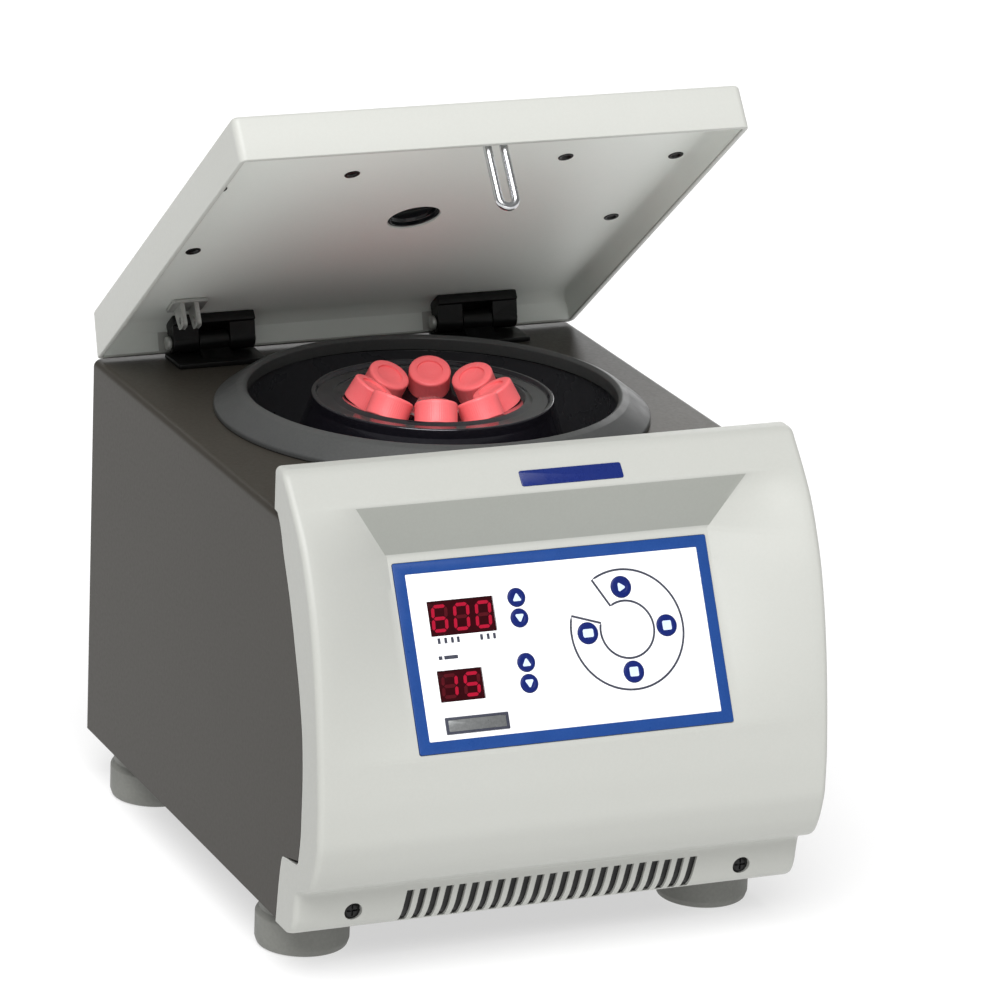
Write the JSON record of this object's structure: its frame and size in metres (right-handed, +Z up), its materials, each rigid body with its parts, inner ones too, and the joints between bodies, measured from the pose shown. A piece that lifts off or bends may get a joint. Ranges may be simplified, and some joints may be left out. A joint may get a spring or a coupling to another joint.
{
  "type": "laboratory centrifuge",
  "caption": "Bench centrifuge with a hinged lid standing open, a round bowl with an angle rotor of capped tubes, and a sloping keypad front on rubber feet.",
  "frame": {"origin": "centre of the object's box on the surface that the feet stand on", "axes": "+Z up, -Y out of the front panel, +X to the right of someone facing the front"},
  "size_m": [0.28, 0.35, 0.4214],
  "materials": {
    "casing_paint": "fine-textured warm dark grey powder coat, satin",
    "fascia_plastic": "light warm grey moulding, fine satin grain",
    "lid_plastic": "light warm grey moulding, fine satin grain",
    "liner_plastic": "mid grey sheet, satin",
    "blue_border": "printed blue polyester film, satin",
    "white_overlay": "printed white polyester film, satin",
    "navy_key": "embossed navy key, satin",
    "display_red": "dark red filter window over red digits",
    "circuit_board": "green solder mask",
    "bowl_coat": "dark grey baked coating, satin",
    "soft_rubber": "dark grey moulded rubber, slightly dusty",
    "rotor_black": "black anodised, glossy",
    "bright_steel": "bright plated steel",
    "motor_alloy": "cast, plain",
    "black_plastic": "black, satin",
    "clear_tube": "clear polypropylene",
    "red_cap": "coral red moulded polyethylene, satin",
    "foot_rubber": "grey moulded rubber, matt",
    "smoked_glass": "smoked clear window"
  },
  "bodies": {
    "housing": {"outer_casing": "casing_paint", "rear_panel": "casing_paint", "base_pan": "casing_paint", "front_fascia": "fascia_plastic", "mains_inlet": "black_plastic", "foot_front_left": "foot_rubber", "foot_front_right": "foot_rubber", "foot_rear_left": "foot_rubber", "foot_rear_right": "foot_rubber", "keypad_bezel": "blue_border", "keypad_overlay": "white_overlay", "speed_display": "display_red", "time_display": "display_red", "control_board": "circuit_board", "bowl": "bowl_coat", "bowl_gasket": "soft_rubber", "motor_housing": "motor_alloy", "motor_plate": "bright_steel", "motor_isolator": "soft_rubber", "hinge_base_left": "black_plastic", "hinge_base_right": "black_plastic", "hinge_pin_left": "bright_steel", "hinge_pin_right": "bright_steel", "lock_body": "black_plastic"},
    "lid": {"lid_shell": "lid_plastic", "lid_liner": "liner_plastic", "lid_striker": "bright_steel", "sight_glass": "smoked_glass", "hinge_leaf_left": "black_plastic", "hinge_leaf_right": "black_plastic", "lid_stay_bracket": "bright_steel"},
    "rotor": {"rotor": "rotor_black", "drive_shaft": "bright_steel"},
    "rotor_nut": {"rotor_nut": "bright_steel"},
    "tube_1": {"tube_1": "clear_tube", "cap_1": "red_cap"},
    "tube_2": {"tube_2": "clear_tube", "cap_2": "red_cap"},
    "tube_3": {"tube_3": "clear_tube", "cap_3": "red_cap"},
    "tube_4": {"tube_4": "clear_tube", "cap_4": "red_cap"},
    "tube_5": {"tube_5": "clear_tube", "cap_5": "red_cap"},
    "tube_6": {"tube_6": "clear_tube", "cap_6": "red_cap"},
    "tube_7": {"tube_7": "clear_tube", "cap_7": "red_cap"},
    "tube_8": {"tube_8": "clear_tube", "cap_8": "red_cap"},
    "speed_up_key": {"speed_up_key": "navy_key"},
    "speed_down_key": {"speed_down_key": "navy_key"},
    "time_up_key": {"time_up_key": "navy_key"},
    "time_down_key": {"time_down_key": "navy_key"},
    "lid_key": {"lid_key": "navy_key"},
    "start_key": {"start_key": "navy_key"},
    "stop_key": {"stop_key": "navy_key"},
    "quick_spin_key": {"quick_spin_key": "navy_key"},
    "latch_pawl": {"latch_pawl": "bright_steel"},
    "power_rocker": {"power_rocker": "black_plastic"}
  },
  "joints": [
    {"name": "lid_hinge", "type": "hinge", "parent": "housing", "child": "lid", "pos_m": [0, 0.1595, 0.2484], "axis": [-1, 0, 0], "range_deg": [-37.9, 0]},
    {"name": "rotor_spin", "type": "hinge", "parent": "housing", "child": "rotor", "pos_m": [0, 0.0329, 0.15], "axis": [0, 0, 1], "continuous": true},
    {"name": "rotor_nut_turn", "type": "hinge", "parent": "rotor", "child": "rotor_nut", "pos_m": [0, 0.0329, 0.24], "axis": [0, 0, 1], "range_deg": [0, 90]},
    {"name": "tube_1_lift", "type": "slide", "parent": "rotor", "child": "tube_1", "axis": [0.1628, 0.4647, 0.8704], "range_m": [0, 0.025]},
    {"name": "tube_2_lift", "type": "slide", "parent": "rotor", "child": "tube_2", "axis": [-0.2135, 0.4437, 0.8704], "range_m": [0, 0.006]},
    {"name": "tube_3_lift", "type": "slide", "parent": "rotor", "child": "tube_3", "axis": [-0.4647, 0.1628, 0.8704], "range_m": [0, 0.025]},
    {"name": "tube_4_lift", "type": "slide", "parent": "rotor", "child": "tube_4", "axis": [-0.4437, -0.2135, 0.8704], "range_m": [0, 0.006]},
    {"name": "tube_5_lift", "type": "slide", "parent": "rotor", "child": "tube_5", "axis": [-0.1628, -0.4647, 0.8704], "range_m": [0, 0.025]},
    {"name": "tube_6_lift", "type": "slide", "parent": "rotor", "child": "tube_6", "axis": [0.2135, -0.4437, 0.8704], "range_m": [0, 0.006]},
    {"name": "tube_7_lift", "type": "slide", "parent": "rotor", "child": "tube_7", "axis": [0.4647, -0.1628, 0.8704], "range_m": [0, 0.025]},
    {"name": "tube_8_lift", "type": "slide", "parent": "rotor", "child": "tube_8", "axis": [0.4437, 0.2135, 0.8704], "range_m": [0, 0.006]},
    {"name": "speed_up_press", "type": "slide", "parent": "housing", "child": "speed_up_key", "axis": [0, 0.8821, -0.471], "range_m": [0, 0.0005], "stiffness_N_per_m": 800, "springref_m": -0.0003},
    {"name": "speed_down_press", "type": "slide", "parent": "housing", "child": "speed_down_key", "axis": [0, 0.8821, -0.471], "range_m": [0, 0.0005], "stiffness_N_per_m": 800, "springref_m": -0.0003},
    {"name": "time_up_press", "type": "slide", "parent": "housing", "child": "time_up_key", "axis": [0, 0.8821, -0.471], "range_m": [0, 0.0005], "stiffness_N_per_m": 800, "springref_m": -0.0003},
    {"name": "time_down_press", "type": "slide", "parent": "housing", "child": "time_down_key", "axis": [0, 0.8821, -0.471], "range_m": [0, 0.0005], "stiffness_N_per_m": 800, "springref_m": -0.0003},
    {"name": "lid_press", "type": "slide", "parent": "housing", "child": "lid_key", "axis": [0, 0.8821, -0.471], "range_m": [0, 0.0005], "stiffness_N_per_m": 800, "springref_m": -0.0003},
    {"name": "start_press", "type": "slide", "parent": "housing", "child": "start_key", "axis": [0, 0.8821, -0.471], "range_m": [0, 0.0005], "stiffness_N_per_m": 800, "springref_m": -0.0003},
    {"name": "stop_press", "type": "slide", "parent": "housing", "child": "stop_key", "axis": [0, 0.8821, -0.471], "range_m": [0, 0.0005], "stiffness_N_per_m": 800, "springref_m": -0.0003},
    {"name": "quick_spin_press", "type": "slide", "parent": "housing", "child": "quick_spin_key", "axis": [0, 0.8821, -0.471], "range_m": [0, 0.0005], "stiffness_N_per_m": 800, "springref_m": -0.0003},
    {"name": "latch_pawl_turn", "type": "hinge", "parent": "housing", "child": "latch_pawl", "pos_m": [0, -0.0765, 0.229], "axis": [-1, 0, 0], "range_deg": [0, 32]},
    {"name": "power_rocker_tilt", "type": "hinge", "parent": "housing", "child": "power_rocker", "pos_m": [-0.094, 0.1698, 0.078], "axis": [1, 0, 0], "range_deg": [0, 16]}
  ]
}
